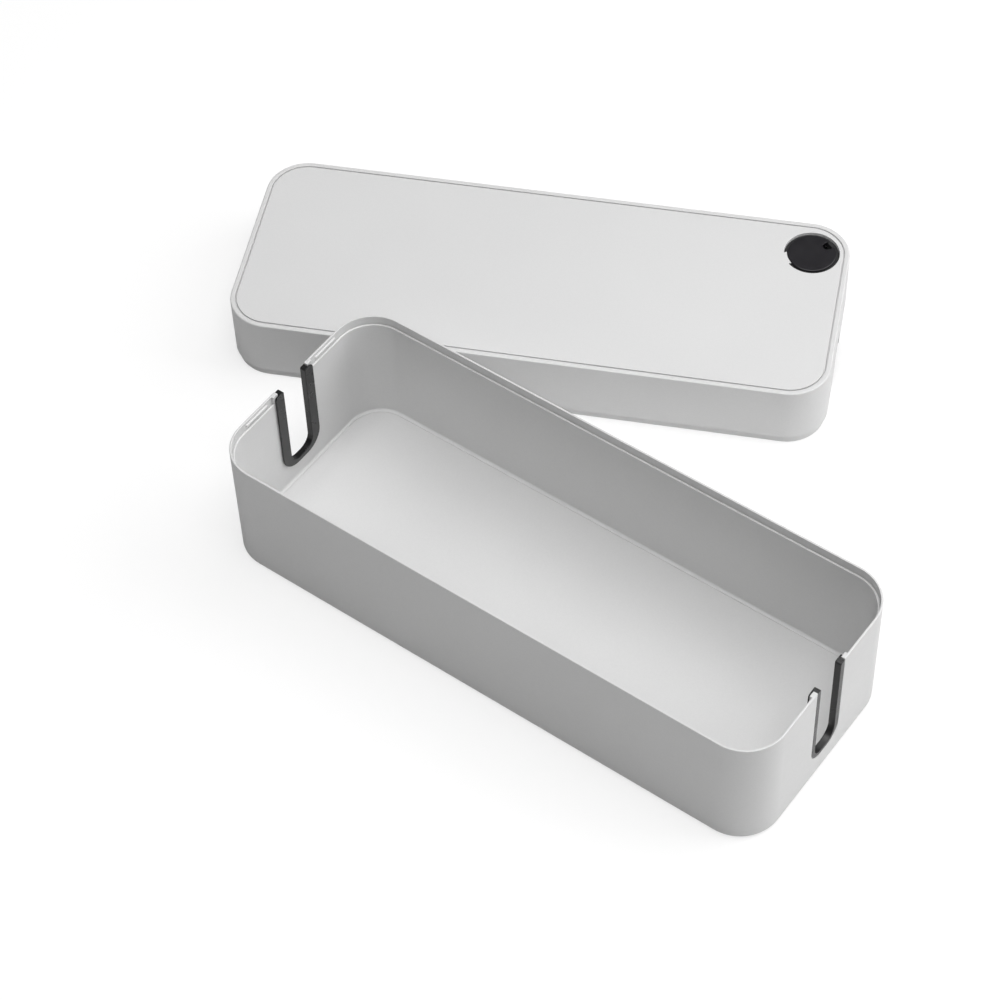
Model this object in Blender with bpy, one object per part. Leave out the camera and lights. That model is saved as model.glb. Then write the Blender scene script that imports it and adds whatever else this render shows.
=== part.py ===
"""Desktop cable tray: an open rectangular tray with a lift-off lid.

The tray has a cable slot in each short wall, lined with a black U-shaped trim.
The lid stands beside and behind the tray on the same surface. It has a matching
notch in each short wall, an inlaid top panel and a round cable outlet whose cap turns.
Metres, +Z up. The origin is the middle of the layout, on the surface it stands on.
"""

import math

import bmesh
import bpy
from mathutils import Matrix, Vector

MM = 0.001

# ---- driving dimensions, in millimetres --------------------------------------
LENGTH, DEPTH = 406.0, 156.0        # outer outline, tray and lid alike
CORNER = 28.0                       # outer corner radius in plan
TRAY_TOP = 93.6                     # rim above the surface, feet included
TRAY_UNDER = 1.0                    # underside of the tray above the surface
FLOOR_TOP = 3.0                     # upper face of the tray's floor
WALL = 3.0                          # wall thickness below the ledge
LIP = 1.4                           # thickness of the upstanding rim lip
LEDGE_DROP = 6.5                    # ledge inside the lip, below the rim
BOTTOM_ROUND = 2.5                  # rounded edge under the tray
FLOOR_ROUND = 1.6                   # fillet between floor and walls

SLOT_HALF = 15.0                    # cable slot in the wall, half width
SLOT_BOTTOM = 17.4
SLOT_ROUND = 12.0
JAMB_BLOCK = 4.6                    # full-thickness wall beside each slot
BEAD_FROM, BEAD_TO = 24.4, 45.6     # snap bead inside the end lips, across the depth
BEAD_DROP, BEAD_RADIUS = 3.4, 0.9

TRIM_GAP = 0.3                      # air left between touching pieces
TRIM_OPEN_HALF = 10.8               # clear width through the trim, halved
TRIM_SILL = 20.2
TRIM_OPEN_ROUND = 8.5
TRIM_TOP = TRAY_TOP - 1.0
FLANGE_HALF = 18.6                  # the trim's flange on the inner wall face
FLANGE_BOTTOM = 16.6
FLANGE_ROUND = 14.0
FLANGE_THICK = 1.3

FOOT_RADIUS, FOOT_HIGH = 6.0, 1.5
FOOT_X, FOOT_Y = 172.0, 52.0
POCKET_TOP = 1.8

LID_TOP = 50.0                      # lid height as it stands, plug lip included
PLUG_LIP = 6.1                      # the lid's lip that drops inside the tray's rim
PLUG_INSET = 1.7
PLATE = 3.7                         # top plate thickness at the border
BORDER = 3.35                       # border left around the inlaid panel
PANEL_GAP = 0.9                     # groove between border and panel
PANEL_RECESS = 1.5
PANEL_THICK = 1.2
LIP_CLEAR_HALF = 20.6               # lip left away here, to pass the tray's slot
NOTCH_TOP = 16.0
NOTCH_ROUND = 5.0
NOTCH_OPEN_ROUND = 3.0              # corners of the opening through the lid's trim
NOTCH_FLANGE_ROUND = 8.0
SNAP_GROOVE = 0.8                   # depth of the groove that takes each snap bead

OUTLET_X, OUTLET_Y = 177.3, 50.5    # outlet centre on the lid
PANEL_HOLE = 18.8
PLATE_HOLE = 18.8
CAP_RADIUS, CAP_THICK, CAP_SUNK = 16.5, 1.2, 0.3
CAP_SKIRT_OUT, CAP_SKIRT_IN, CAP_SKIRT_DEEP = 15.1, 13.6, 3.4
SEAT_OUT, SEAT_IN = 18.4, 15.4
SEAT_FLANGE, SEAT_FLANGE_THICK = 21.2, 1.5
CAP_NOTCH_ANGLE, CAP_NOTCH_WIDE, CAP_NOTCH_DEEP = 41.0, 6.4, 7.0
TAB_ANGLE, TAB_WIDE, TAB_RADIUS = 204.0, 10.4, 16.9

LID_DX, LID_DY = -146.8, 196.7      # lid centre from tray centre, as set out
LID_TURN = 24.93                    # degrees, counter-clockwise from above

PLAN_SEGMENTS = 9                   # facets in each plan corner


# ---- scene --------------------------------------------------------------------
def clear_scene():
    for obj in list(bpy.data.objects):
        bpy.data.objects.remove(obj, do_unlink=True)
    for coll in list(bpy.data.collections):
        bpy.data.collections.remove(coll)


def new_collection(name):
    coll = bpy.data.collections.new(name)
    bpy.context.scene.collection.children.link(coll)
    return coll


def principled(name, colour, roughness, metallic=0.0):
    mat = bpy.data.materials.new(name)
    mat.use_nodes = True
    bsdf = mat.node_tree.nodes["Principled BSDF"]
    bsdf.inputs["Base Color"].default_value = (*colour, 1.0)
    bsdf.inputs["Roughness"].default_value = roughness
    bsdf.inputs["Metallic"].default_value = metallic
    mat.diffuse_color = (*colour, 1.0)
    return mat


clear_scene()
PARTS = new_collection("cable_tray")
CUTTERS = new_collection("cable_tray_cutters")

LIGHT_GREY = principled("light_grey_moulded", (0.68, 0.68, 0.68), 0.5)
PANEL_GREY = principled("panel_soft_touch", (0.70, 0.70, 0.70), 0.6)
BLACK_TRIM = principled("black_trim_plastic", (0.035, 0.035, 0.037), 0.45)
BLACK_CAP = principled("black_cap_satin", (0.03, 0.029, 0.033), 0.38)
RUBBER = principled("rubber_foot", (0.04, 0.04, 0.04), 0.85)


# ---- shape helpers ------------------------------------------------------------
def put(name, bm, material=None, parent=None, location=(0, 0, 0), turn=0.0, cutter=False):
    """A bmesh in millimetres becomes a named object, parented and placed."""
    bmesh.ops.scale(bm, vec=(MM, MM, MM), verts=bm.verts)
    bmesh.ops.recalc_face_normals(bm, faces=bm.faces)
    mesh = bpy.data.meshes.new(name)
    bm.to_mesh(mesh)
    bm.free()
    obj = bpy.data.objects.new(name, mesh)
    (CUTTERS if cutter else PARTS).objects.link(obj)
    obj.parent = parent
    obj.location = Vector(location) * MM
    obj.rotation_euler = (0, 0, math.radians(turn))
    if cutter:
        obj.hide_render = True
        obj.display_type = "WIRE"
    else:
        mesh.materials.append(material)
        mesh.shade_smooth()
        mesh.set_sharp_from_angle(angle=math.radians(32))
    return obj


def empty(name, location, turn=0.0, parent=None):
    obj = bpy.data.objects.new(name, None)
    PARTS.objects.link(obj)
    obj.empty_display_size = 0.03
    obj.parent = parent
    obj.location = Vector(location) * MM
    obj.rotation_euler = (0, 0, math.radians(turn))
    return obj


def box(x0, x1, y0, y1, z0, z1):
    bm = bmesh.new()
    bmesh.ops.create_cube(bm, size=1.0)
    bmesh.ops.scale(bm, vec=(x1 - x0, y1 - y0, z1 - z0), verts=bm.verts)
    bmesh.ops.translate(bm, vec=((x0 + x1) / 2, (y0 + y1) / 2, (z0 + z1) / 2), verts=bm.verts)
    return bm


def along(edge, axis):
    d = edge.verts[1].co - edge.verts[0].co
    return abs(d[axis]) > 0.999 * d.length


def round_edges(bm, edges, radius, segments):
    bmesh.ops.bevel(
        bm, geom=edges, offset=radius, offset_type="OFFSET", segments=segments,
        profile=0.5, affect="EDGES", clamp_overlap=False,
    )


def plan_prism(length, depth, radius, z0, z1, segments=PLAN_SEGMENTS, low=0.0, high=0.0, steps=3):
    """An upright prism with a rounded-rectangle plan; its bottom and top edges can be rounded."""
    bm = box(-length / 2, length / 2, -depth / 2, depth / 2, z0, z1)
    round_edges(bm, [e for e in bm.edges if along(e, 2)], radius, segments)
    for z, r in ((z0, low), (z1, high)):
        if r:
            ring = [e for e in bm.edges if all(abs(v.co.z - z) < 1e-4 for v in e.verts)]
            round_edges(bm, ring, r, steps)
    return bm


def end_plate(x0, x1, half, z0, z1, low=0.0, high=0.0, segments=5):
    """A plate across an end wall, its lower or upper corners rounded in its own plane."""
    bm = box(x0, x1, -half, half, z0, z1)
    for z, r in ((z0, low), (z1, high)):
        if r:
            pair = [e for e in bm.edges if along(e, 0) and abs(e.verts[0].co.z - z) < 1e-4]
            round_edges(bm, pair, r, segments)
    return bm


def cylinder(radius, z0, z1, x=0.0, y=0.0, segments=40):
    bm = bmesh.new()
    bmesh.ops.create_cone(
        bm, cap_ends=True, segments=segments, radius1=radius, radius2=radius, depth=z1 - z0,
    )
    bmesh.ops.translate(bm, vec=(x, y, (z0 + z1) / 2), verts=bm.verts)
    return bm


def boolean(obj, operand, operation="DIFFERENCE"):
    mod = obj.modifiers.new(f"{operation.lower()}_{operand.name}", "BOOLEAN")
    mod.operation = operation
    mod.solver = "EXACT"
    mod.object = operand
    return mod


def helper(name, bm, parent, location=(0, 0, 0), turn=0.0):
    return put(name, bm, parent=parent, location=location, turn=turn, cutter=True)


# ---- layout -------------------------------------------------------------------
def half_extent(turn):
    """Half the box around the outline turned by this angle."""
    c, s = abs(math.cos(math.radians(turn))), abs(math.sin(math.radians(turn)))
    a, b = LENGTH / 2 - CORNER, DEPTH / 2 - CORNER
    return a * c + b * s + CORNER, a * s + b * c + CORNER


def layout_middle():
    ex, ey = half_extent(LID_TURN)
    xs = (-LENGTH / 2, LENGTH / 2, LID_DX - ex, LID_DX + ex)
    ys = (-DEPTH / 2, DEPTH / 2, LID_DY - ey, LID_DY + ey)
    return (min(xs) + max(xs)) / 2, (min(ys) + max(ys)) / 2


MID_X, MID_Y = layout_middle()
TRAY = empty("tray_frame", (-MID_X, -MID_Y, 0))
LID = empty("lid_frame", (LID_DX - MID_X, LID_DY - MID_Y, 0), turn=LID_TURN)
OUTLET = empty("cap_axis", (OUTLET_X, OUTLET_Y, 0), parent=LID)


# ---- tray shell ---------------------------------------------------------------
def make_tray_shell():
    shell = put(
        "tray_shell",
        plan_prism(LENGTH, DEPTH, CORNER, TRAY_UNDER, TRAY_TOP, low=BOTTOM_ROUND),
        LIGHT_GREY, TRAY,
    )
    cavity = helper(
        "cavity_cutter",
        plan_prism(
            LENGTH - 2 * WALL, DEPTH - 2 * WALL, CORNER - WALL, FLOOR_TOP, TRAY_TOP + 5,
            low=FLOOR_ROUND, steps=2,
        ),
        TRAY,
    )
    ledge_z = TRAY_TOP - LEDGE_DROP
    rebate = helper(
        "rim_rebate_cutter",
        plan_prism(LENGTH - 2 * LIP, DEPTH - 2 * LIP, CORNER - LIP, ledge_z, TRAY_TOP + 4),
        TRAY,
    )
    # what the rebate leaves standing: the blocks beside the slots, and the snap beads
    end = LENGTH / 2
    for side, sx in (("left", -1), ("right", 1)):
        for part, sy in (("front", -1), ("rear", 1)):
            y0, y1 = sorted((sy * (SLOT_HALF - 4), sy * (SLOT_HALF + JAMB_BLOCK)))
            x0, x1 = sorted((sx * (end + 2), sx * (end - WALL - 1)))
            block = helper(
                f"jamb_block_{part}_{side}", box(x0, x1, y0, y1, ledge_z - 2, TRAY_TOP + 6), TRAY,
            )
            boolean(rebate, block)
            bead = cylinder(BEAD_RADIUS, -(BEAD_TO - BEAD_FROM) / 2, (BEAD_TO - BEAD_FROM) / 2, segments=12)
            bmesh.ops.rotate(bead, matrix=Matrix.Rotation(math.radians(90), 3, "X"), verts=bead.verts)
            bar = helper(
                f"snap_bead_{part}_{side}", bead, TRAY,
                location=(sx * (end - LIP), sy * (BEAD_FROM + BEAD_TO) / 2, TRAY_TOP - BEAD_DROP),
            )
            boolean(rebate, bar)
    boolean(shell, cavity)
    boolean(shell, rebate)
    for side, sx in (("left", -1), ("right", 1)):
        x0, x1 = sorted((sx * (end - 9), sx * (end + 6)))
        slot = helper(
            f"slot_cutter_{side}",
            end_plate(x0, x1, SLOT_HALF, SLOT_BOTTOM, TRAY_TOP + 8, low=SLOT_ROUND),
            TRAY,
        )
        boolean(shell, slot)
    for fx in (-1, 1):
        for fy in (-1, 1):
            pocket = helper(
                f"foot_pocket_{'l' if fx < 0 else 'r'}{'f' if fy < 0 else 'b'}",
                cylinder(FOOT_RADIUS + 0.3, -1, POCKET_TOP, segments=32),
                TRAY, location=(fx * FOOT_X, fy * FOOT_Y, 0),
            )
            boolean(shell, pocket)
    return shell


# ---- slot trims in the tray ---------------------------------------------------
def make_slot_trim(side, sx):
    end = LENGTH / 2
    inner = end - WALL - TRIM_GAP                      # outer face of the flange
    x0, x1 = sorted((sx * (end - 0.1), sx * (inner - FLANGE_THICK + 0.05)))
    trim = put(
        f"slot_trim_{side}",
        end_plate(
            x0, x1, SLOT_HALF - TRIM_GAP, SLOT_BOTTOM + TRIM_GAP, TRIM_TOP,
            low=SLOT_ROUND - TRIM_GAP,
        ),
        BLACK_TRIM, TRAY,
    )
    x0, x1 = sorted((sx * inner, sx * (inner - FLANGE_THICK)))
    flange = helper(
        f"trim_flange_{side}",
        end_plate(x0, x1, FLANGE_HALF, FLANGE_BOTTOM, TRIM_TOP - 0.2, low=FLANGE_ROUND, high=2.6),
        TRAY,
    )
    boolean(trim, flange, "UNION")
    x0, x1 = sorted((sx * (end + 3), sx * (end - 9)))
    opening = helper(
        f"trim_opening_{side}",
        end_plate(x0, x1, TRIM_OPEN_HALF, TRIM_SILL, TRAY_TOP + 8, low=TRIM_OPEN_ROUND, segments=6),
        TRAY,
    )
    boolean(trim, opening)
    return trim


# ---- feet -----------------------------------------------------------------------
def make_feet():
    for nx, fx in (("left", -1), ("right", 1)):
        for ny, fy in (("front", -1), ("rear", 1)):
            bm = cylinder(FOOT_RADIUS, 0.0, FOOT_HIGH, segments=32)
            low = [e for e in bm.edges if all(abs(v.co.z) < 1e-4 for v in e.verts)]
            round_edges(bm, low, 0.35, 2)
            put(f"foot_{ny}_{nx}", bm, RUBBER, TRAY, location=(fx * FOOT_X, fy * FOOT_Y, 0))


# ---- lid ------------------------------------------------------------------------
def make_lid_shell():
    shell = put(
        "lid_shell",
        plan_prism(LENGTH, DEPTH, CORNER, PLUG_LIP, LID_TOP, high=0.8, steps=2),
        LIGHT_GREY, LID,
    )
    plug = helper(
        "plug_lip",
        plan_prism(
            LENGTH - 2 * PLUG_INSET, DEPTH - 2 * PLUG_INSET, CORNER - PLUG_INSET, 0.0, PLUG_LIP + 2,
        ),
        LID,
    )
    boolean(shell, plug, "UNION")
    hollow = helper(
        "lid_hollow_cutter",
        plan_prism(
            LENGTH - 2 * WALL, DEPTH - 2 * WALL, CORNER - WALL, -4.0, LID_TOP - PLATE, high=1.6, steps=2,
        ),
        LID,
    )
    boolean(shell, hollow)
    recess = helper(
        "panel_recess_cutter",
        plan_prism(
            LENGTH - 2 * BORDER, DEPTH - 2 * BORDER, CORNER - BORDER, LID_TOP - PANEL_RECESS, LID_TOP + 4,
        ),
        LID,
    )
    boolean(shell, recess)
    hole = helper("plate_hole_cutter", cylinder(PLATE_HOLE, LID_TOP - 12, LID_TOP + 6, segments=48), OUTLET)
    boolean(shell, hole)
    end = LENGTH / 2
    for side, sx in (("left", -1), ("right", 1)):
        x0, x1 = sorted((sx * (end - 9), sx * (end + 6)))
        notch = helper(
            f"notch_cutter_{side}",
            end_plate(x0, x1, SLOT_HALF, -3.0, NOTCH_TOP, high=NOTCH_ROUND),
            LID,
        )
        boolean(shell, notch)
        lip_cut = helper(
            f"lip_clear_cutter_{side}", box(x0, x1, -LIP_CLEAR_HALF, LIP_CLEAR_HALF, -4.0, PLUG_LIP), LID,
        )
        boolean(shell, lip_cut)
        for part, sy in (("front", -1), ("rear", 1)):
            y0, y1 = sorted((sy * (BEAD_FROM - 1), sy * (BEAD_TO + 1)))
            g0, g1 = sorted((sx * (end - PLUG_INSET - SNAP_GROOVE), sx * (end + 6)))
            groove = helper(
                f"snap_groove_{part}_{side}",
                box(g0, g1, y0, y1, PLUG_LIP - BEAD_DROP - 1.1, PLUG_LIP - BEAD_DROP + 1.1),
                LID,
            )
            boolean(shell, groove)
    return shell


def make_lid_trim(side, sx):
    end = LENGTH / 2
    low = PLUG_LIP + TRIM_GAP
    inner = end - WALL - TRIM_GAP
    x0, x1 = sorted((sx * (end - 0.1), sx * (inner - FLANGE_THICK + 0.05)))
    trim = put(
        f"lid_trim_{side}",
        end_plate(x0, x1, SLOT_HALF - TRIM_GAP, low, NOTCH_TOP - TRIM_GAP, high=NOTCH_ROUND - TRIM_GAP),
        BLACK_TRIM, LID,
    )
    x0, x1 = sorted((sx * inner, sx * (inner - FLANGE_THICK)))
    flange = helper(
        f"lid_trim_flange_{side}",
        end_plate(x0, x1, FLANGE_HALF, low + 0.2, NOTCH_TOP + 2.6, high=NOTCH_FLANGE_ROUND),
        LID,
    )
    boolean(trim, flange, "UNION")
    x0, x1 = sorted((sx * (end + 3), sx * (end - 9)))
    opening = helper(
        f"lid_trim_opening_{side}",
        end_plate(x0, x1, TRIM_OPEN_HALF, -3.0, NOTCH_TOP - 3.6, high=NOTCH_OPEN_ROUND, segments=4),
        LID,
    )
    boolean(trim, opening)
    return trim


def make_panel():
    inset = BORDER + PANEL_GAP
    panel = put(
        "lid_panel",
        plan_prism(
            LENGTH - 2 * inset, DEPTH - 2 * inset, CORNER - inset, LID_TOP - PANEL_THICK, LID_TOP,
            high=0.25, steps=1,
        ),
        PANEL_GREY, LID,
    )
    hole = helper("panel_hole_cutter", cylinder(PANEL_HOLE, LID_TOP - 8, LID_TOP + 6, segments=48), OUTLET)
    tab = box(TAB_RADIUS, 24.0, -TAB_WIDE / 2, TAB_WIDE / 2, LID_TOP - 12, LID_TOP + 12)
    key = helper("panel_key_tab", tab, OUTLET, turn=TAB_ANGLE)
    boolean(hole, key)
    boolean(panel, hole)
    return panel


# ---- outlet ---------------------------------------------------------------------
def make_outlet_seat():
    top = LID_TOP - PANEL_RECESS - TRIM_GAP
    under = LID_TOP - PLATE - TRIM_GAP
    seat = put("outlet_seat", cylinder(SEAT_OUT, under - SEAT_FLANGE_THICK, top, segments=48), BLACK_TRIM, OUTLET)
    flange = helper("seat_flange", cylinder(SEAT_FLANGE, under - SEAT_FLANGE_THICK, under, segments=48), OUTLET)
    boolean(seat, flange, "UNION")
    bore = helper("seat_bore_cutter", cylinder(SEAT_IN, LID_TOP - 20, LID_TOP + 6, segments=48), OUTLET)
    boolean(seat, bore)
    return seat


def make_outlet_cap():
    top = LID_TOP - CAP_SUNK
    disc_bm = cylinder(CAP_RADIUS, top - CAP_THICK, top, segments=48)
    rim = [e for e in disc_bm.edges if all(abs(v.co.z - top) < 1e-4 for v in e.verts)]
    round_edges(disc_bm, rim, 0.6, 2)
    cap = put("outlet_cap", disc_bm, BLACK_CAP, OUTLET)
    skirt = helper(
        "cap_skirt", cylinder(CAP_SKIRT_OUT, top - CAP_THICK - CAP_SKIRT_DEEP, top - 0.5, segments=48), OUTLET,
    )
    boolean(cap, skirt, "UNION")
    bore = helper(
        "cap_bore_cutter",
        cylinder(CAP_SKIRT_IN, top - CAP_THICK - CAP_SKIRT_DEEP - 4, top - CAP_THICK, segments=48), OUTLET,
    )
    boolean(cap, bore)
    # the cable passes through a notch in the disc's edge, round at its inner end
    half = CAP_NOTCH_WIDE / 2
    notch_bm = box(CAP_RADIUS - CAP_NOTCH_DEEP, CAP_RADIUS + 5, -half, half, LID_TOP - 20, LID_TOP + 6)
    inner_edges = [e for e in notch_bm.edges if along(e, 2) and e.verts[0].co.x < CAP_RADIUS]
    round_edges(notch_bm, inner_edges, half * 0.96, 4)
    notch = helper("cap_notch_cutter", notch_bm, OUTLET, turn=CAP_NOTCH_ANGLE)
    boolean(cap, notch)
    return cap


make_tray_shell()
for side_name, sign in (("left", -1), ("right", 1)):
    make_slot_trim(side_name, sign)
make_feet()
make_lid_shell()
for side_name, sign in (("left", -1), ("right", 1)):
    make_lid_trim(side_name, sign)
make_panel()
make_outlet_seat()
make_outlet_cap()
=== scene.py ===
"""Looks for the desktop cable tray: detailed meshes and moulded-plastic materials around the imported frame."""

import math

import bmesh
import bpy
from mathutils import Matrix, Vector


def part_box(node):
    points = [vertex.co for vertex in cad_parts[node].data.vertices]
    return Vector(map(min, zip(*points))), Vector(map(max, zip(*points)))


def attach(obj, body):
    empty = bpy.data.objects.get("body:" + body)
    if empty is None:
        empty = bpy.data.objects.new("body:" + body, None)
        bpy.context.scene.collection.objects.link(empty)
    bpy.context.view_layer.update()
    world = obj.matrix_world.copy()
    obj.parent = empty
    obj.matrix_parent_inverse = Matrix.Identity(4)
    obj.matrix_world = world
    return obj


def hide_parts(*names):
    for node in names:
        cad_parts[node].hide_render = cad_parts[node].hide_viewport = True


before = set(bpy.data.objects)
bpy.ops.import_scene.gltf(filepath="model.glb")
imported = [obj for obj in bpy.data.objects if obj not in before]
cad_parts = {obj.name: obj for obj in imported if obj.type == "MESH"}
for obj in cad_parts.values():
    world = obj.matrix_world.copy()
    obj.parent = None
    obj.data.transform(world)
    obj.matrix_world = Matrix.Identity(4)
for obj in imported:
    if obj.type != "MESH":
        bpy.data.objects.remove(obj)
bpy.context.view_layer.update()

MM = 0.001

# ---- sizes of the finished surfaces, in millimetres --------------------------------
LENGTH, DEPTH, CORNER = 406.0, 156.0, 28.0
TRAY_TOP, TRAY_UNDER, FLOOR_TOP = 93.6, 1.0, 3.0
WALL, LIP, LEDGE_DROP = 3.0, 1.4, 6.5
SLOT_HALF, SLOT_BOTTOM, SLOT_ROUND = 15.0, 17.4, 12.0
JAMB_BLOCK = 4.6
BEAD_FROM, BEAD_TO, BEAD_DROP = 24.4, 45.6, 3.4
OPEN_HALF, SILL, OPEN_ROUND = 10.8, 20.2, 8.5
FLANGE_HALF, FLANGE_BOTTOM, FLANGE_ROUND, FLANGE_THICK = 18.6, 16.6, 14.0, 1.3
GAP = 0.3
TRIM_TOP = TRAY_TOP - 1.0
LID_TOP, PLUG_LIP, PLUG_INSET, PLATE = 50.0, 6.1, 1.7, 3.7
BORDER, PANEL_GAP, PANEL_RECESS, PANEL_THICK = 3.35, 0.9, 1.5, 1.2
NOTCH_TOP, NOTCH_ROUND, NOTCH_OPEN_ROUND, NOTCH_FLANGE_ROUND = 16.0, 5.0, 3.0, 8.0
LIP_CLEAR_HALF = 20.6
OUTLET_X, OUTLET_Y = 177.3, 50.5
PANEL_HOLE, PLATE_HOLE = 18.8, 18.8
CAP_RADIUS, CAP_THICK, CAP_SUNK = 16.5, 1.2, 0.3
SKIRT_OUT, SKIRT_IN, SKIRT_DEEP = 15.1, 13.6, 3.4
SEAT_OUT, SEAT_IN, SEAT_FLANGE, SEAT_FLANGE_THICK = 18.4, 15.4, 21.2, 1.5
CAP_NOTCH_ANGLE, CAP_NOTCH_WIDE, CAP_NOTCH_DEEP = 41.0, 6.4, 7.0
TAB_ANGLE, TAB_WIDE, TAB_RADIUS = 204.0, 10.4, 16.9
LID_TURN = 24.93
SEG = 20  # facets in each plan corner


# ---- where the tray and the lid stand ----------------------------------------------
def middle(node):
    lo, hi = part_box(node)
    return (lo + hi) / 2


TRAY_AT = Vector((middle("tray_shell").x, middle("tray_shell").y, 0.0))
LID_AT = Vector((middle("lid_shell").x, middle("lid_shell").y, 0.0))
TRAY_FRAME = Matrix.Translation(TRAY_AT)
LID_FRAME = Matrix.Translation(LID_AT) @ Matrix.Rotation(math.radians(LID_TURN), 4, "Z")
OUTLET_AT = Vector((middle("outlet_seat").x, middle("outlet_seat").y, 0.0))
OUTLET_FRAME = Matrix.Translation(OUTLET_AT) @ Matrix.Rotation(math.radians(LID_TURN), 4, "Z")


# ---- materials -----------------------------------------------------------------------
def socket(node, name):
    return node.inputs[name]


class Graph:
    """A short way to write a node tree."""

    def __init__(self, name):
        self.mat = bpy.data.materials.new(name)
        self.mat.use_nodes = True
        self.tree = self.mat.node_tree
        self.bsdf = self.tree.nodes["Principled BSDF"]
        coord = self.tree.nodes.new("ShaderNodeTexCoord")
        self.coord = coord.outputs["Object"]

    def link(self, a, b):
        self.tree.links.new(a, b)
        return a

    def noise(self, scale, detail=3.0, rough=0.5, distortion=0.0, stretch=None):
        n = self.tree.nodes.new("ShaderNodeTexNoise")
        n.inputs["Scale"].default_value = scale
        n.inputs["Detail"].default_value = detail
        n.inputs["Roughness"].default_value = rough
        n.inputs["Distortion"].default_value = distortion
        if stretch:
            m = self.tree.nodes.new("ShaderNodeMapping")
            m.inputs["Scale"].default_value = stretch
            self.link(self.coord, m.inputs["Vector"])
            self.link(m.outputs["Vector"], n.inputs["Vector"])
        else:
            self.link(self.coord, n.inputs["Vector"])
        return n.outputs["Fac"]

    def cells(self, scale, randomness=1.0):
        n = self.tree.nodes.new("ShaderNodeTexVoronoi")
        n.inputs["Scale"].default_value = scale
        n.inputs["Randomness"].default_value = randomness
        self.link(self.coord, n.inputs["Vector"])
        return n.outputs["Distance"]

    def spread(self, value, low, high, to_low, to_high):
        n = self.tree.nodes.new("ShaderNodeMapRange")
        for key, v in (("From Min", low), ("From Max", high), ("To Min", to_low), ("To Max", to_high)):
            n.inputs[key].default_value = v
        self.link(value, n.inputs["Value"])
        return n.outputs["Result"]

    def math(self, op, a, b):
        n = self.tree.nodes.new("ShaderNodeMath")
        n.operation = op
        for i, v in enumerate((a, b)):
            if isinstance(v, (int, float)):
                n.inputs[i].default_value = v
            else:
                self.link(v, n.inputs[i])
        return n.outputs["Value"]

    def ramp(self, value, stops):
        n = self.tree.nodes.new("ShaderNodeValToRGB")
        n.color_ramp.interpolation = "LINEAR"
        for i, (at, colour) in enumerate(stops):
            e = n.color_ramp.elements[i] if i < 2 else n.color_ramp.elements.new(at)
            e.position = at
            e.color = (*colour, 1.0)
        self.link(value, n.inputs["Fac"])
        return n.outputs["Color"]

    def mix(self, factor, a, b, blend="MIX"):
        n = self.tree.nodes.new("ShaderNodeMix")
        n.data_type = "RGBA"
        n.blend_type = blend
        fac, ca, cb = n.inputs[0], n.inputs[6], n.inputs[7]
        for s, v in ((fac, factor), (ca, a), (cb, b)):
            if isinstance(v, (int, float)):
                s.default_value = v
            elif isinstance(v, tuple):
                s.default_value = (*v, 1.0)
            else:
                self.link(v, s)
        return n.outputs[2]

    def bump(self, height, strength, distance, below=None):
        n = self.tree.nodes.new("ShaderNodeBump")
        n.inputs["Strength"].default_value = strength
        n.inputs["Distance"].default_value = distance
        self.link(height, n.inputs["Height"])
        if below is not None:
            self.link(below, n.inputs["Normal"])
        return n.outputs["Normal"]


def moulded(name, low, high, rough, grain, grain_size, wave=0.0, specular=0.5, speck=0.012):
    """Injection-moulded plastic: faint mottling, a spark-eroded grain, and slow waves in the surface."""
    g = Graph(name)
    cloud = g.noise(9.0, 2.0, 0.45)
    fine = g.noise(420.0, 4.0, 0.6)
    tone = g.math("ADD", g.math("MULTIPLY", cloud, 0.7), g.math("MULTIPLY", fine, 0.3))
    base = g.ramp(tone, ((0.3, low), (0.7, high)))
    pores = g.cells(1.0 / (grain_size * 2.2))
    speckle = g.spread(pores, 0.0, 0.7, 1.0 - speck, 1.0 + speck)
    g.link(g.mix(1.0, base, speckle, "MULTIPLY"), socket(g.bsdf, "Base Color"))
    sheen_noise = g.noise(140.0, 3.0, 0.55)
    g.link(g.spread(sheen_noise, 0.25, 0.75, rough - 0.05, rough + 0.06), socket(g.bsdf, "Roughness"))
    g.bsdf.inputs["Specular IOR Level"].default_value = specular
    g.bsdf.inputs["IOR"].default_value = 1.5
    grains = g.math(
        "ADD", g.noise(1.0 / grain_size, 2.0, 0.6), g.math("MULTIPLY", g.cells(1.0 / (grain_size * 1.6)), 0.5),
    )
    normal = g.bump(grains, 1.0, grain)
    if wave:
        normal = g.bump(g.noise(14.0, 1.0, 0.4), 1.0, wave, normal)
    g.link(normal, socket(g.bsdf, "Normal"))
    return g.mat


SHELL = moulded("moulded_light_grey", (0.605, 0.605, 0.605), (0.635, 0.635, 0.634), 0.46, 0.000012, 0.00055, 0.00002)
PANEL = moulded("panel_light_grey", (0.61, 0.61, 0.611), (0.635, 0.635, 0.635), 0.52, 0.000014, 0.00045, 0.00002)
TRIM = moulded("trim_black", (0.009, 0.009, 0.0094), (0.014, 0.014, 0.0144), 0.3, 0.000012, 0.0005, specular=0.5)
CAP = moulded("cap_black", (0.0095, 0.0088, 0.0108), (0.0132, 0.0122, 0.0148), 0.34, 0.00001, 0.0005, specular=0.5)
SEAT = moulded("seat_black", (0.018, 0.018, 0.019), (0.025, 0.025, 0.026), 0.5, 0.000012, 0.0005, specular=0.4)
RUBBER = moulded("rubber_black", (0.028, 0.028, 0.028), (0.045, 0.045, 0.045), 0.78, 0.00002, 0.0004, specular=0.3, speck=0.05)


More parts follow.
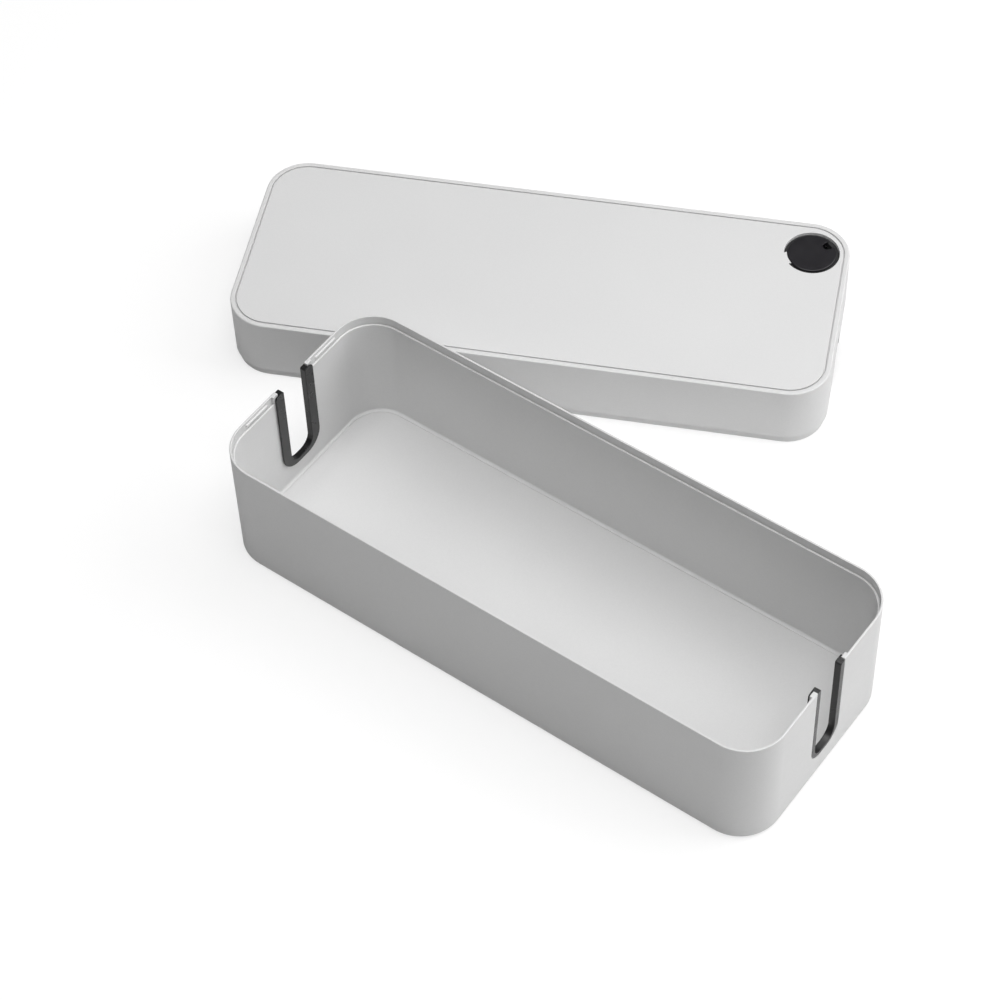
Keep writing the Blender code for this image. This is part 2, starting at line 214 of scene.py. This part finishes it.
# ---- mesh helpers ---------------------------------------------------------------------
def outline(length, depth, radius, seg=SEG):
    hx, hy, r = length / 2, depth / 2, radius
    pts = []
    for cx, cy, a0 in ((hx - r, hy - r, 0), (r - hx, hy - r, 90), (r - hx, r - hy, 180), (hx - r, r - hy, 270)):
        for i in range(seg + 1):
            a = math.radians(a0 + 90.0 * i / seg)
            pts.append((cx + r * math.cos(a), cy + r * math.sin(a)))
    return pts


def circle(radius, seg=96):
    return [(radius * math.cos(2 * math.pi * i / seg), radius * math.sin(2 * math.pi * i / seg)) for i in range(seg)]


def loft(bm, rings, close=False):
    """Joins rings of 3-D points with the same count; the ends are capped unless the loft closes on itself."""
    made = [[bm.verts.new(p) for p in ring] for ring in rings]
    pairs = list(zip(made[:-1], made[1:])) + ([(made[-1], made[0])] if close else [])
    n = len(made[0])
    for a, b in pairs:
        for i in range(n):
            j = (i + 1) % n
            bm.faces.new((a[i], a[j], b[j], b[i]))
    if not close:
        bm.faces.new(made[0][::-1])
        bm.faces.new(made[-1])
    return made


def arc(cx, cz, r, a0, a1, n):
    return [
        (cx + r * math.cos(math.radians(a0 + (a1 - a0) * i / n)), cz + r * math.sin(math.radians(a0 + (a1 - a0) * i / n)))
        for i in range(n + 1)
    ]


def wall_loft(profile, length=LENGTH, depth=DEPTH, corner=CORNER):
    """A profile of (inset from the outside, height) carried round the rounded outline."""
    bm = bmesh.new()
    loft(bm, [
        [(x, y, z) for x, y in outline(length - 2 * i, depth - 2 * i, max(corner - i, 0.4))] for i, z in profile
    ])
    return bm


def lathe(profile, seg=96):
    bm = bmesh.new()
    loft(bm, [[(x, y, z) for x, y in circle(max(r, 0.05), seg)] for r, z in profile])
    return bm


def box(x0, x1, y0, y1, z0, z1):
    bm = bmesh.new()
    bmesh.ops.create_cube(bm, size=1.0)
    bmesh.ops.scale(bm, vec=(x1 - x0, y1 - y0, z1 - z0), verts=bm.verts)
    bmesh.ops.translate(bm, vec=((x0 + x1) / 2, (y0 + y1) / 2, (z0 + z1) / 2), verts=bm.verts)
    return bm


def along(edge, axis):
    d = edge.verts[1].co - edge.verts[0].co
    return abs(d[axis]) > 0.999 * d.length


def rounded(bm, edges, radius, segments):
    bmesh.ops.bevel(
        bm, geom=edges, offset=radius, offset_type="OFFSET", segments=segments, profile=0.5, affect="EDGES",
        clamp_overlap=False,
    )
    return bm


def end_plate(x0, x1, half, z0, z1, low=0.0, high=0.0, edge=0.0, faces=(0, 1), segments=8):
    """A plate across an end wall with rounded corners and softened rims on the chosen faces."""
    bm = box(x0, x1, -half, half, z0, z1)
    for z, r in ((z0, low), (z1, high)):
        if r:
            rounded(bm, [e for e in bm.edges if along(e, 0) and abs(e.verts[0].co.z - z) < 1e-4], r, segments)
    if edge:
        for x in [(x0, x1)[k] for k in faces]:
            rounded(bm, [e for e in bm.edges if all(abs(v.co.x - x) < 1e-4 for v in e.verts)], edge, 3)
    return bm


FLARE = ((80.0), (53.0), (27.0), (0.0))


def stations(w0, w1, r, out=6.0):
    """Where a cutter stands along its way through a wall, and how far it widens there, so the cut's rims come out round."""
    near = [(w0 + r - r * math.sin(math.radians(a)), r * (1 - math.cos(math.radians(a)))) for a in FLARE]
    grow = near[0][1] + 0.3
    near = [(w0 - out, grow), (w0 - 0.045, grow)] + near
    far = [(w1 - (w - w0), d) for w, d in near]
    return near + far[::-1]


def cut_through(shape, w0, w1, r, place, out=6.0):
    """A cutter made of shape(widening) outlines, placed by place(u, v, w)."""
    bm = bmesh.new()
    loft(bm, [[place(u, v, w) for u, v in shape(d)] for w, d in stations(w0, w1, r, out)])
    return bm


def u_shape(half, bottom, radius, top, rim=0.35, seg=8, up=1.0):
    """An open-topped slot outline; its upper corners flare where it meets the rim. up=-1 turns it over."""

    def make(d):
        h, b, r = half + d, bottom - d * up, radius + d
        pts = []
        # rim flare on one side, from the outside in
        lip = [(h + rim * (1 - math.cos(math.radians(a))), top - up * (rim - rim * math.sin(math.radians(a)))) for a in FLARE]
        reach = lip[0][0] + 0.3
        lip = [(reach, top + up * 9.0), (reach, top + up * 0.045)] + lip
        pts += lip
        for i in range(seg + 1):
            a = math.radians(-90.0 * i / seg)
            pts.append((h - r + r * math.cos(a), b + up * (r + r * math.sin(a))))
        pts += [(-u, v) for u, v in pts[::-1]]
        return pts

    return make


def finish_mesh(bm, name, frame_matrix, material, body, replaced=None, angle=33.0, weighted=True):
    """The bmesh, in millimetres in its own frame, becomes a shaded piece riding on its body."""
    bmesh.ops.scale(bm, vec=(MM, MM, MM), verts=bm.verts)
    bmesh.ops.recalc_face_normals(bm, faces=bm.faces)
    mesh = bpy.data.meshes.new(name)
    bm.to_mesh(mesh)
    bm.free()
    obj = bpy.data.objects.new(name, mesh)
    bpy.context.scene.collection.objects.link(obj)
    obj.matrix_world = frame_matrix
    if material is not None:
        mesh.materials.append(material)
        shade(obj, angle, weighted)
        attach(obj, body)
        if replaced:
            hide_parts(replaced)
    return obj


def shade(obj, angle, weighted=True):
    obj.data.shade_smooth()
    obj.data.set_sharp_from_angle(angle=math.radians(angle))
    if weighted:
        mod = obj.modifiers.new("even_normals", "WEIGHTED_NORMAL")
        mod.mode = "FACE_AREA"
        mod.weight = 50
        mod.keep_sharp = True


def temp(bm, frame_matrix):
    return finish_mesh(bm, "cutter", frame_matrix, None, None)


def boolean(obj, bm, frame_matrix, operation="DIFFERENCE"):
    """Applies the operation at once, and drops the operand."""
    tool = temp(bm, frame_matrix)
    mod = obj.modifiers.new("cut", "BOOLEAN")
    mod.operation = operation
    mod.solver = "EXACT"
    mod.object = tool
    bpy.context.view_layer.update()
    graph = bpy.context.evaluated_depsgraph_get()
    done = bpy.data.meshes.new_from_object(obj.evaluated_get(graph), depsgraph=graph)
    obj.modifiers.clear()
    old = obj.data
    obj.data = done
    bpy.data.meshes.remove(old)
    data = tool.data
    bpy.data.objects.remove(tool, do_unlink=True)
    bpy.data.meshes.remove(data)
    return obj


def solid(bm, name, frame_matrix):
    """A piece in the making: booleans come before settle()."""
    obj = finish_mesh(bm, name, frame_matrix, None, None)
    return obj


def settle(obj, name, material, body, replaced, angle=33.0, weighted=True):
    """Welds what the booleans left, names the mesh and hands the piece over to its body."""
    bm = bmesh.new()
    bm.from_mesh(obj.data)
    bmesh.ops.remove_doubles(bm, verts=bm.verts, dist=2e-6)
    bmesh.ops.dissolve_degenerate(bm, edges=bm.edges, dist=1e-6)
    bm.to_mesh(obj.data)
    bm.free()
    obj.data.transform(obj.matrix_world)  # the place goes into the mesh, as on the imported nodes
    obj.matrix_world = Matrix.Identity(4)
    obj.name = name
    obj.data.name = name
    obj.data.materials.clear()
    obj.data.materials.append(material)
    shade(obj, angle, weighted)
    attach(obj, body)
    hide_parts(replaced)
    return obj


END = LENGTH / 2


# ---- tray -----------------------------------------------------------------------------
def build_tray():
    ledge = TRAY_TOP - LEDGE_DROP
    profile = [(9.0, TRAY_UNDER)]
    profile += [(2.5 + 2.5 * math.cos(math.radians(a)), 3.5 + 2.5 * math.sin(math.radians(a))) for a in (-90, -108, -126, -144, -162, -180)]
    profile += arc(0.5, TRAY_TOP - 0.5, 0.5, 180, 90, 4)
    profile += arc(LIP - 0.3, TRAY_TOP - 0.3, 0.3, 90, 0, 3)
    profile += [(LIP, ledge - 0.5), (LIP + 0.55, ledge - 0.5), (LIP + 0.55, ledge - 0.1), (LIP + 0.65, ledge)]
    profile += arc(WALL - 0.35, ledge - 0.35, 0.35, 90, 0, 3)
    profile += [(WALL + 1.6 + 1.6 * math.cos(math.radians(a)), FLOOR_TOP + 1.6 + 1.6 * math.sin(math.radians(a))) for a in (180, 202.5, 225, 247.5, 270)]
    crease = WALL + 2.2
    profile += [(crease, FLOOR_TOP), (crease + 0.12, FLOOR_TOP - 0.3), (crease + 0.6, FLOOR_TOP - 0.3), (crease + 0.72, FLOOR_TOP)]
    profile += [(12.0, FLOOR_TOP)]
    tray = solid(wall_loft(profile), "tray", TRAY_FRAME)
    for sx in (-1, 1):
        for sy in (-1, 1):
            x0, x1 = sorted((sx * (END - 0.55), sx * (END - WALL)))
            y0, y1 = sorted((sy * (SLOT_HALF - 3), sy * (SLOT_HALF + JAMB_BLOCK)))
            block = box(x0, x1, y0, y1, ledge - 3, TRAY_TOP)
            inner = sx * (END - WALL)
            soft = [
                e for e in block.edges
                if (all(abs(v.co.x - inner) < 1e-4 for v in e.verts) and any(v.co.z > ledge for v in e.verts)
                    and not all(abs(v.co.y) < SLOT_HALF for v in e.verts))
                or (all(abs(v.co.z - TRAY_TOP) < 1e-4 for v in e.verts) and all(abs(v.co.y) > SLOT_HALF for v in e.verts))
            ]
            rounded(block, soft, 0.3, 2)
            boolean(tray, block, TRAY_FRAME, "UNION")
            half = (BEAD_TO - BEAD_FROM) / 2
            bead_profile = [(0.05, -half)] + [
                (0.9 * math.sin(math.radians(a)), -half + 0.9 - 0.9 * math.cos(math.radians(a))) for a in (20, 40, 60, 80)
            ]
            bead_profile += [(r, -z) for r, z in bead_profile[::-1]]
            bead = lathe(bead_profile, 20)
            bmesh.ops.rotate(bead, matrix=Matrix.Rotation(math.radians(90), 3, "X"), verts=bead.verts)
            bmesh.ops.translate(
                bead, vec=(sx * (END - LIP), sy * (BEAD_FROM + BEAD_TO) / 2, TRAY_TOP - BEAD_DROP), verts=bead.verts,
            )
            boolean(tray, bead, TRAY_FRAME, "UNION")
    for sx in (-1, 1):
        shape = u_shape(SLOT_HALF, SLOT_BOTTOM, SLOT_ROUND, TRAY_TOP, rim=0.4)
        cut = cut_through(shape, END - WALL, END, 0.3, lambda u, v, w, sx=sx: (sx * w, u, v))
        boolean(tray, cut, TRAY_FRAME)
    for fx in (-172.0, 172.0):
        for fy in (-52.0, 52.0):
            well = lathe([(6.3 + 0.5, -3.0), (6.3 + 0.5, 0.94), (6.3 + 0.22, 1.0), (6.3 + 0.06, 1.1), (6.3, 1.25), (6.3, 1.8)], 48)
            bmesh.ops.translate(well, vec=(fx, fy, 0), verts=well.verts)
            boolean(tray, well, TRAY_FRAME)
    return settle(tray, "tray_moulding", SHELL, "tray", "tray_shell")


def build_slot_trim(side, sx):
    inner = END - WALL - GAP
    x0, x1 = sorted((sx * (inner - FLANGE_THICK + 0.4), sx * (END - 0.1)))
    outer_face = 1 if sx > 0 else 0
    trim = solid(
        end_plate(x0, x1, SLOT_HALF - GAP, SLOT_BOTTOM + GAP, TRIM_TOP, low=SLOT_ROUND - GAP, edge=0.3, faces=(outer_face,)),
        "trim", TRAY_FRAME,
    )
    x0, x1 = sorted((sx * inner, sx * (inner - FLANGE_THICK)))
    flange = end_plate(x0, x1, FLANGE_HALF, FLANGE_BOTTOM, TRIM_TOP - 0.2, low=FLANGE_ROUND, high=2.6, edge=0.35)
    boolean(trim, flange, TRAY_FRAME, "UNION")
    shape = u_shape(OPEN_HALF, SILL, OPEN_ROUND, TRIM_TOP, rim=1.3)
    cut = cut_through(shape, inner - FLANGE_THICK, END - 0.1, 0.45, lambda u, v, w: (sx * w, u, v))
    boolean(trim, cut, TRAY_FRAME)
    return settle(trim, f"slot_trim_{side}_moulding", TRIM, "tray", f"slot_trim_{side}")


def build_foot(name, fx, fy):
    foot = lathe([
        (2.0, 0.35), (2.6, 0.3), (3.0, 0.05), (3.3, 0.0), (5.3, 0.0), (5.7, 0.07), (5.93, 0.28), (6.0, 0.55), (6.0, 1.5),
    ], 64)
    at = TRAY_FRAME @ Matrix.Translation((fx * MM, fy * MM, 0))
    obj = solid(foot, name, at)
    return settle(obj, name + "_pad", RUBBER, "tray", name)


# ---- lid ------------------------------------------------------------------------------
def build_lid():
    under = LID_TOP - PLATE
    profile = [(14.0, under)]
    profile += [(WALL + 1.6 + 1.6 * math.cos(math.radians(a)), under - 1.6 + 1.6 * math.sin(math.radians(a))) for a in (90, 112.5, 135, 157.5, 180)]
    profile += arc(WALL - 0.3, 0.3, 0.3, 0, -90, 3)
    profile += [(PLUG_INSET + 0.4, 0.0)]
    profile += [(PLUG_INSET + 0.4 + 0.4 * math.cos(math.radians(a)), 0.4 + 0.4 * math.sin(math.radians(a))) for a in (-120, -150, -180)]
    profile += [(PLUG_INSET, PLUG_LIP), (0.35, PLUG_LIP)]
    profile += [(0.35 + 0.35 * math.cos(math.radians(a)), PLUG_LIP + 0.35 + 0.35 * math.sin(math.radians(a))) for a in (-120, -150, -180)]
    profile += arc(0.9, LID_TOP - 0.9, 0.9, 180, 90, 6)
    profile += arc(BORDER - 0.25, LID_TOP - 0.25, 0.25, 90, 0, 3)
    profile += [(BORDER, LID_TOP - PANEL_RECESS), (14.0, LID_TOP - PANEL_RECESS)]
    lid = solid(wall_loft(profile), "lid", LID_FRAME)
    hole = cut_through(
        lambda d: circle(PLATE_HOLE + d, 96), under, LID_TOP - PANEL_RECESS, 0.15,
        lambda u, v, w: (OUTLET_X + u, OUTLET_Y + v, w), out=1.2,
    )
    boolean(lid, hole, LID_FRAME)
    for sx in (-1, 1):
        shape = u_shape(SLOT_HALF, NOTCH_TOP, NOTCH_ROUND, PLUG_LIP, rim=0.3, up=-1.0)
        cut = cut_through(shape, END - WALL, END, 0.3, lambda u, v, w, sx=sx: (sx * w, u, v))
        boolean(lid, cut, LID_FRAME)
        x0, x1 = sorted((sx * (END - 9), sx * (END + 6)))
        boolean(lid, box(x0, x1, -LIP_CLEAR_HALF, LIP_CLEAR_HALF, -4.0, PLUG_LIP - 0.002), LID_FRAME)
        for sy in (-1, 1):
            g0, g1 = sorted((sx * (END - PLUG_INSET - 0.8), sx * (END + 6)))
            y0, y1 = sorted((sy * (BEAD_FROM - 1), sy * (BEAD_TO + 1)))
            groove = box(g0, g1, y0, y1, PLUG_LIP - BEAD_DROP - 1.1, PLUG_LIP - BEAD_DROP + 1.1)
            deep = g0 if sx > 0 else g1
            rounded(groove, [e for e in groove.edges if all(abs(v.co.x - deep) < 1e-4 for v in e.verts)], 0.4, 3)
            boolean(lid, groove, LID_FRAME)
    return settle(lid, "lid_moulding", SHELL, "lid", "lid_shell")


def build_lid_trim(side, sx):
    low = PLUG_LIP + GAP
    inner = END - WALL - GAP
    x0, x1 = sorted((sx * (inner - FLANGE_THICK + 0.4), sx * (END - 0.1)))
    outer_face = 1 if sx > 0 else 0
    trim = solid(
        end_plate(x0, x1, SLOT_HALF - GAP, low, NOTCH_TOP - GAP, high=NOTCH_ROUND - GAP, edge=0.3, faces=(outer_face,)),
        "trim", LID_FRAME,
    )
    x0, x1 = sorted((sx * inner, sx * (inner - FLANGE_THICK)))
    flange = end_plate(x0, x1, FLANGE_HALF, low + 0.2, NOTCH_TOP + 2.6, high=NOTCH_FLANGE_ROUND, edge=0.35)
    boolean(trim, flange, LID_FRAME, "UNION")
    shape = u_shape(OPEN_HALF, NOTCH_TOP - 3.6, NOTCH_OPEN_ROUND, low, rim=0.4, up=-1.0)
    cut = cut_through(shape, inner - FLANGE_THICK, END - 0.1, 0.45, lambda u, v, w: (sx * w, u, v))
    boolean(trim, cut, LID_FRAME)
    return settle(trim, f"lid_trim_{side}_moulding", TRIM, "lid", f"lid_trim_{side}")


def hole_with_tab(d):
    """The panel's outlet hole: a circle, but for a tab that comes in close to the cap."""
    r = PANEL_HOLE + d
    pts, half = [], TAB_WIDE / 2 - d
    near = TAB_RADIUS + d
    turn = math.radians(TAB_ANGLE)
    edge = math.asin(half / r)
    n = 96
    for i in range(n + 1):
        a = turn + edge + (2 * math.pi - 2 * edge) * i / n
        pts.append((r * math.cos(a), r * math.sin(a)))
    inner = math.asin(half / near)
    for i in range(9):
        a = turn - inner + 2 * inner * i / 8
        pts.append((near * math.cos(a), near * math.sin(a)))
    return pts


def build_panel():
    inset = BORDER + PANEL_GAP
    low = LID_TOP - PANEL_THICK
    profile = [(20.0, low), (inset + 0.1, low), (inset, low + 0.1)]
    profile += [(inset + i, z) for i, z in arc(0.3, LID_TOP - 0.3, 0.3, 180, 90, 4)]
    profile += [(20.0, LID_TOP)]
    panel = solid(wall_loft(profile), "panel", LID_FRAME)
    cut = cut_through(hole_with_tab, low, LID_TOP, 0.25, lambda u, v, w: (OUTLET_X + u, OUTLET_Y + v, w))
    boolean(panel, cut, LID_FRAME)
    return settle(panel, "lid_panel_inlay", PANEL, "lid", "lid_panel")


def build_seat():
    top = LID_TOP - PANEL_RECESS - GAP
    under = LID_TOP - PLATE - GAP
    low = under - SEAT_FLANGE_THICK
    bm = bmesh.new()
    ring = [(SEAT_IN, low + 0.2), (SEAT_IN + 0.2, low), (SEAT_FLANGE - 0.3, low), (SEAT_FLANGE, low + 0.3), (SEAT_FLANGE, under - 0.2),
            (SEAT_FLANGE - 0.2, under), (SEAT_OUT, under), (SEAT_OUT, top - 0.2), (SEAT_OUT - 0.2, top), (SEAT_IN + 0.3, top), (SEAT_IN, top - 0.3)]
    loft(bm, [[(x, y, z) for x, y in circle(r)] for r, z in ring], close=True)
    obj = solid(bm, "seat", OUTLET_FRAME)
    return settle(obj, "outlet_seat_ring", SEAT, "lid", "outlet_seat")


def cap_notch(d):
    half = CAP_NOTCH_WIDE / 2 + d
    far = CAP_RADIUS + 6.0
    start = CAP_RADIUS - CAP_NOTCH_DEEP - d
    pts = [(far, half), (start + half, half)]
    for i in range(1, 12):
        a = math.radians(90 + 180.0 * i / 12)
        pts.append((start + half + half * math.cos(a), half * math.sin(a)))
    return pts + [(start + half, -half), (far, -half)]


def build_cap():
    top = LID_TOP - CAP_SUNK
    low = top - CAP_THICK
    foot = low - SKIRT_DEEP
    profile = [(2.0, low), (SKIRT_IN - 0.3, low), (SKIRT_IN, low - 0.3), (SKIRT_IN, foot + 0.2), (SKIRT_IN + 0.2, foot), (SKIRT_OUT - 0.2, foot),
               (SKIRT_OUT, foot + 0.2), (SKIRT_OUT, low), (CAP_RADIUS - 0.15, low), (CAP_RADIUS, low + 0.15)]
    profile += [(CAP_RADIUS - 0.62 + x, z) for x, z in ((0.62 * math.cos(math.radians(a)), top - 0.62 + 0.62 * math.sin(math.radians(a))) for a in (0, 15, 30, 45, 60, 75, 90))]
    profile += [(CAP_RADIUS - 2.0, top), (CAP_RADIUS - 6.0, top - 0.03), (2.0, top - 0.05)]
    cap = solid(lathe(profile, 128), "cap", OUTLET_FRAME)
    turn = math.radians(CAP_NOTCH_ANGLE)
    c, s = math.cos(turn), math.sin(turn)
    cut = cut_through(cap_notch, low, top, 0.3, lambda u, v, w: (c * u - s * v, s * u + c * v, w))
    boolean(cap, cut, OUTLET_FRAME)
    return settle(cap, "outlet_cap_disc", CAP, "cap", "outlet_cap", angle=33.0)


build_tray()
for side_name, sign in (("left", -1), ("right", 1)):
    build_slot_trim(side_name, sign)
    build_lid_trim(side_name, sign)
for foot_x, nx in ((-172.0, "left"), (172.0, "right")):
    for foot_y, ny in ((-52.0, "front"), (52.0, "rear")):
        build_foot(f"foot_{ny}_{nx}", foot_x, foot_y)
build_lid()
build_panel()
build_seat()
build_cap()


# ---- stage: floor, light, camera -------------------------------------------------------
def build_floor():
    bm = bmesh.new()
    bmesh.ops.create_grid(bm, x_segments=2, y_segments=2, size=30.0)
    mesh = bpy.data.meshes.new("studio_floor")
    bm.to_mesh(mesh)
    bm.free()
    floor = bpy.data.objects.new("studio_floor", mesh)
    bpy.context.scene.collection.objects.link(floor)
    floor.location = (0, 0, -0.0002)
    mat = bpy.data.materials.new("studio_floor")
    mat.use_nodes = True
    tree = mat.node_tree
    tree.nodes.clear()
    out = tree.nodes.new("ShaderNodeOutputMaterial")
    seen = tree.nodes.new("ShaderNodeBsdfDiffuse")
    seen.inputs["Color"].default_value = (0.35, 0.35, 0.35, 1)
    glow = tree.nodes.new("ShaderNodeEmission")
    glow.inputs["Strength"].default_value = 0.66
    both = tree.nodes.new("ShaderNodeAddShader")
    given = tree.nodes.new("ShaderNodeBsdfDiffuse")
    given.inputs["Color"].default_value = (0.72, 0.72, 0.72, 1)
    path = tree.nodes.new("ShaderNodeLightPath")
    pick = tree.nodes.new("ShaderNodeMixShader")
    tree.links.new(seen.outputs[0], both.inputs[0])
    tree.links.new(glow.outputs[0], both.inputs[1])
    tree.links.new(path.outputs["Is Camera Ray"], pick.inputs[0])
    tree.links.new(given.outputs[0], pick.inputs[1])
    tree.links.new(both.outputs[0], pick.inputs[2])
    tree.links.new(pick.outputs[0], out.inputs[0])
    mesh.materials.append(mat)
    return floor


def softbox(name, direction, distance, size, strength, aim=(0.0, 0.0, 0.04)):
    """An area light that gives this irradiance at the object when it is faced square on."""
    light = bpy.data.lights.new(name, "AREA")
    light.shape = "RECTANGLE"
    light.size, light.size_y = size
    light.energy = strength * math.pi ** 2 * distance ** 2
    obj = bpy.data.objects.new(name, light)
    bpy.context.scene.collection.objects.link(obj)
    way = Vector(direction).normalized()
    obj.location = Vector(aim) + way * distance
    obj.rotation_mode = "QUATERNION"
    obj.rotation_quaternion = (-way).to_track_quat("-Z", "Y")
    return obj


def build_world(strength):
    world = bpy.data.worlds.new("studio")
    bpy.context.scene.world = world
    world.use_nodes = True
    tree = world.node_tree
    tree.nodes.clear()
    out = tree.nodes.new("ShaderNodeOutputWorld")
    give = tree.nodes.new("ShaderNodeBackground")
    give.inputs["Color"].default_value = (1, 1, 1, 1)
    give.inputs["Strength"].default_value = strength
    seen = tree.nodes.new("ShaderNodeBackground")
    seen.inputs["Color"].default_value = (1, 1, 1, 1)
    seen.inputs["Strength"].default_value = 1.0
    path = tree.nodes.new("ShaderNodeLightPath")
    pick = tree.nodes.new("ShaderNodeMixShader")
    tree.links.new(path.outputs["Is Camera Ray"], pick.inputs[0])
    tree.links.new(give.outputs[0], pick.inputs[1])
    tree.links.new(seen.outputs[0], pick.inputs[2])
    tree.links.new(pick.outputs[0], out.inputs[0])


def build_camera():
    azimuth, elevation, roll = -0.9092417834, 0.8966473492, -0.0420723601
    focal_px, dist = 2894.248701, 1.8333638724
    target = Vector((-0.0547976439, 0.0232547602, 0.05)) + TRAY_AT
    back = Vector((math.cos(elevation) * math.cos(azimuth), math.cos(elevation) * math.sin(azimuth), math.sin(elevation)))
    forward = -back
    right = forward.cross(Vector((0, 0, 1))).normalized()
    up = right.cross(forward)
    c, s = math.cos(roll), math.sin(roll)
    right, up = c * right + s * up, c * up - s * right
    data = bpy.data.cameras.new("camera")
    data.sensor_width = 36.0
    data.lens = focal_px * 36.0 / 1000.0
    data.clip_start, data.clip_end = 0.05, 100.0
    cam = bpy.data.objects.new("camera", data)
    bpy.context.scene.collection.objects.link(cam)
    turn = Matrix((right, up, back)).transposed()
    cam.matrix_world = Matrix.Translation(target + back * dist) @ turn.to_4x4()
    bpy.context.scene.camera = cam


build_floor()
build_world(0.01)
softbox("softbox_right", (0.8, 0.8, 0.8), 2.5, (2.0, 1.8), 0.57)
softbox("softbox_side", (1.0, 0.1, 0.25), 2.5, (2.0, 1.8), 0.28)
softbox("softbox_top", (0.1, 0.25, 1.0), 2.5, (2.0, 1.8), 0.44)
softbox("softbox_front", (0.1, -0.35, 1.0), 2.5, (2.0, 1.8), 0.61)
build_camera()

view = bpy.context.scene.view_settings
view.view_transform = "Standard"
view.look = "None"
view.exposure = 0.0
view.gamma = 1.0
